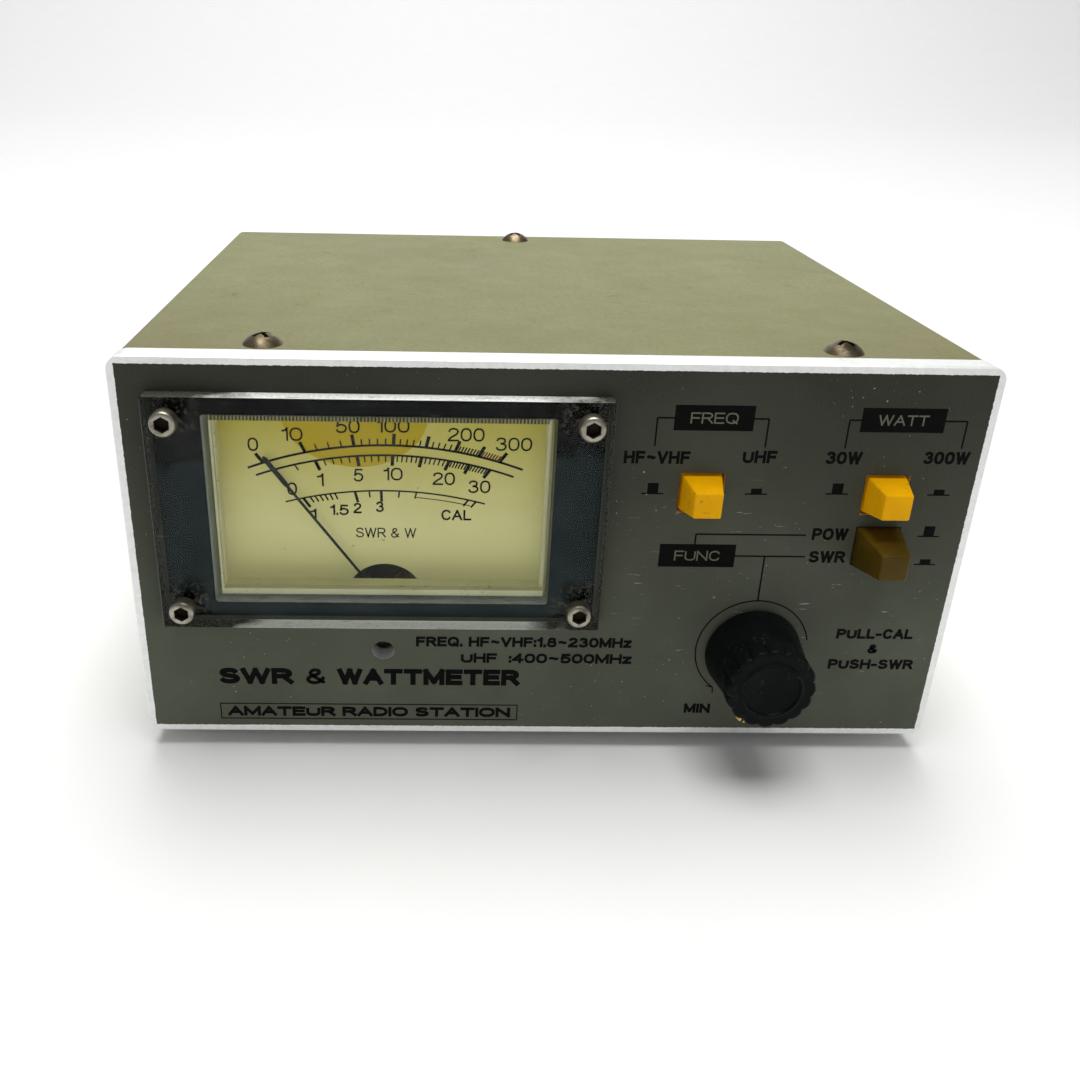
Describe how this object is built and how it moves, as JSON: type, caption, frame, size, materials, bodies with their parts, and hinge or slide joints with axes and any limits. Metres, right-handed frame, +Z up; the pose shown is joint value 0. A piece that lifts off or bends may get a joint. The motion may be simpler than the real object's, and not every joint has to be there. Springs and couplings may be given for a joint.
{
  "type": "swr meter",
  "caption": "Bench meter for radio transmitters: painted panel with a lit moving-needle scale, push buttons and a pull-out calibration knob, under a folded cover with coaxial sockets behind.",
  "frame": {"origin": "under the middle of the whole instrument, level with the soles of its feet", "axes": "+Z up, -Y out of the front panel, +X to the right as seen from the front"},
  "size_m": [0.15, 0.1524, 0.0789],
  "materials": {
    "panel_aluminium": "satin, front face painted dark grey-green",
    "chassis_steel": "plated, dull",
    "cover_paint": "matt olive-grey paint",
    "screw_steel": "nickel plated",
    "rubber": "matt",
    "clear_plastic": "clear polished plastic",
    "cream_plastic": "satin",
    "scale_paint": "cream paint",
    "white_plastic": "satin",
    "magnet_alloy": "ground",
    "brass": "satin",
    "needle_black": "matt",
    "copper": "enamelled copper",
    "lamp_glass": "clear glass with a brass cap",
    "yellow_plastic": "slight gloss",
    "black_plastic": "satin",
    "board_laminate": "varnished",
    "component_paint": "glossy",
    "nickel": "bright nickel",
    "phenolic": "matt",
    "tinplate": "bright",
    "ptfe": "waxy white",
    "blue_plastic": "glossy",
    "wire_insulation": "satin"
  },
  "bodies": {
    "root": {"front_panel": "panel_aluminium", "chassis": "chassis_steel", "top_cover": "cover_paint", "cover_screws": "screw_steel", "panel_screws": "screw_steel", "rubber_feet": "rubber", "foot_screws": "screw_steel", "window_plate": "clear_plastic", "window_screws": "screw_steel", "meter_lens": "clear_plastic", "meter_bezel": "cream_plastic", "scale_plate": "scale_paint", "meter_base": "white_plastic", "core_magnet": "magnet_alloy", "yoke_ring": "magnet_alloy", "front_bridge": "brass", "rear_bridge": "brass", "jewel_screws": "screw_steel", "meter_terminals": "screw_steel", "dial_lamp": "lamp_glass", "lamp_grommet": "rubber", "switch_bodies": "black_plastic", "switch_springs": "screw_steel", "switch_board": "board_laminate", "board_standoffs": "screw_steel", "board_parts": "component_paint", "pot_nut": "nickel", "pot_bushing": "brass", "pot_case": "nickel", "pull_switch": "black_plastic", "coupler_boxes": "chassis_steel", "coupler_lids": "tinplate", "line_conductors": "nickel", "pickup_lines": "copper", "socket_flanges": "nickel", "hf_barrels": "nickel", "uhf_barrels": "nickel", "socket_insulators": "ptfe", "socket_contacts": "brass", "socket_screws": "screw_steel", "dc_jack": "black_plastic", "trim_pots": "blue_plastic", "wires": "wire_insulation"},
    "freq_button": {"freq_cap": "yellow_plastic", "freq_plunger": "white_plastic"},
    "watt_button": {"watt_cap": "yellow_plastic", "watt_plunger": "white_plastic"},
    "func_button": {"func_cap": "yellow_plastic", "func_plunger": "white_plastic"},
    "pull_carriage": {"pull_slider": "white_plastic"},
    "cal_control": {"cal_knob": "black_plastic", "knob_screw": "brass", "pot_shaft": "nickel"},
    "wiper": {"pot_wiper": "phenolic"},
    "movement": {"pointer": "needle_black", "moving_coil": "copper", "hairsprings": "brass"},
    "zero_adjuster": {"zero_screw": "black_plastic"},
    "zero_lever": {"zero_arm": "brass"},
    "hf_trimmer": {"trim_rotor_hf": "white_plastic"},
    "uhf_trimmer": {"trim_rotor_uhf": "white_plastic"}
  },
  "joints": [
    {"name": "freq_press", "type": "slide", "parent": "root", "child": "freq_button", "axis": [0, 1, 0], "range_m": [-0.0035, 0.0008]},
    {"name": "watt_press", "type": "slide", "parent": "root", "child": "watt_button", "axis": [0, 1, 0], "range_m": [-0.0035, 0.0008]},
    {"name": "func_press", "type": "slide", "parent": "root", "child": "func_button", "axis": [0, 1, 0], "range_m": [0, 0.0043], "stiffness_N_per_m": 100, "springref_m": -0.006},
    {"name": "cal_pull", "type": "slide", "parent": "root", "child": "pull_carriage", "axis": [0, -1, 0], "range_m": [0, 0.004]},
    {"name": "cal_turn", "type": "hinge", "parent": "pull_carriage", "child": "cal_control", "pos_m": [0.039, -0.0618, 0.02255], "axis": [0, 1, 0], "range_deg": [0, 300]},
    {"name": "wiper_turn", "type": "hinge", "parent": "root", "child": "wiper", "pos_m": [0.039, -0.0494, 0.02255], "axis": [0, 1, 0], "range_deg": [0, 300]},
    {"name": "needle_swing", "type": "hinge", "parent": "root", "child": "movement", "pos_m": [-0.0299, -0.0521, 0.02785], "axis": [0, 1, 0], "range_deg": [0, 82], "stiffness_Nm_per_rad": 0.00002, "springref_deg": -5.73},
    {"name": "zero_turn", "type": "hinge", "parent": "root", "child": "zero_adjuster", "pos_m": [-0.0299, -0.0554, 0.02165], "axis": [0, 1, 0], "range_deg": [-40, 40]},
    {"name": "zero_tilt", "type": "hinge", "parent": "root", "child": "zero_lever", "pos_m": [-0.0299, -0.0536, 0.02785], "axis": [0, 1, 0], "range_deg": [-7, 7]},
    {"name": "hf_trim_turn", "type": "hinge", "parent": "root", "child": "hf_trimmer", "pos_m": [0.0239, -0.0223, 0.0285], "axis": [0, 1, 0], "range_deg": [-135, 135]},
    {"name": "uhf_trim_turn", "type": "hinge", "parent": "root", "child": "uhf_trimmer", "pos_m": [0.0239, -0.0223, 0.0385], "axis": [0, 1, 0], "range_deg": [-135, 135]}
  ],
  "couplings": [
    {"joint": "wiper_turn", "follows": "cal_turn", "ratio": 1},
    {"joint": "zero_tilt", "follows": "zero_turn", "ratio": 0.16216}
  ]
}
